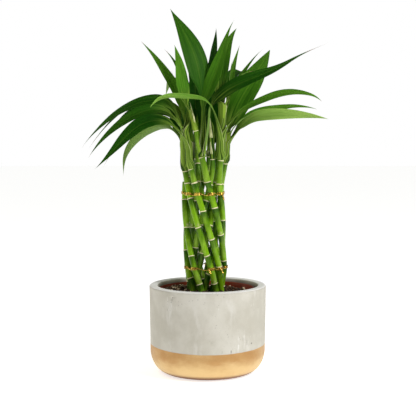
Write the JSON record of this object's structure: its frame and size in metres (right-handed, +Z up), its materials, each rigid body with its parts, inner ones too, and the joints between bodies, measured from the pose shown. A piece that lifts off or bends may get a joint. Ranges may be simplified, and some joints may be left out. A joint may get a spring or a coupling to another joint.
{
  "type": "lucky bamboo in a planter pot",
  "caption": "Braided column of bamboo canes with leafy shoots, planted in a nursery pot inside a round concrete planter with a gold dipped base.",
  "frame": {"origin": "centre of the planter's flat foot, on its axis", "axes": "+Z up along the planter's axis; -Y is the plant's front; +X is to the right when seen from the front"},
  "size_m": [0.3048, 0.2481, 0.4526],
  "materials": {
    "concrete": "matte",
    "terracotta_plastic": "satin",
    "potting_mix": "matte",
    "gold_wire": "polished",
    "cane": "satin",
    "shoot": "satin",
    "leaf": "satin"
  },
  "bodies": {
    "root": {"cane_01": "cane", "cane_02": "cane", "cane_03": "cane", "cane_04": "cane", "cane_05": "cane", "cane_06": "cane", "cane_07": "cane", "cane_08": "cane", "cane_09": "cane", "cane_10": "cane", "cane_11": "cane", "cane_12": "cane", "cane_13": "cane", "cane_14": "cane", "cane_15": "cane", "cut_stem": "cane", "leaf_back_1": "leaf", "leaf_back_2": "leaf", "leaf_back_3": "leaf", "leaf_back_4": "leaf", "leaf_back_5": "leaf", "leaf_crown_1": "leaf", "leaf_crown_10": "leaf", "leaf_crown_11": "leaf", "leaf_crown_2": "leaf", "leaf_crown_3": "leaf", "leaf_crown_4": "leaf", "leaf_crown_5": "leaf", "leaf_crown_6": "leaf", "leaf_crown_7": "leaf", "leaf_crown_8": "leaf", "leaf_crown_9": "leaf", "leaf_left_1": "leaf", "leaf_left_2": "leaf", "leaf_left_3": "leaf", "leaf_left_4": "leaf", "leaf_left_5": "leaf", "leaf_left_6": "leaf", "leaf_left_7": "leaf", "leaf_left_8": "leaf", "leaf_right_1": "leaf", "leaf_right_2": "leaf", "leaf_right_3": "leaf", "leaf_right_4": "leaf", "leaf_right_5": "leaf", "lower_tie_wire": "gold_wire", "nursery_pot": "terracotta_plastic", "planter_pot": "concrete", "potting_soil": "potting_mix", "shoot_back": "shoot", "shoot_back_left": "shoot", "shoot_back_right": "shoot", "shoot_centre": "shoot", "shoot_front": "shoot", "shoot_front_left": "shoot", "shoot_front_right": "shoot", "shoot_left": "shoot", "shoot_right": "shoot", "upper_tie_wire": "gold_wire"}
  },
  "joints": []
}
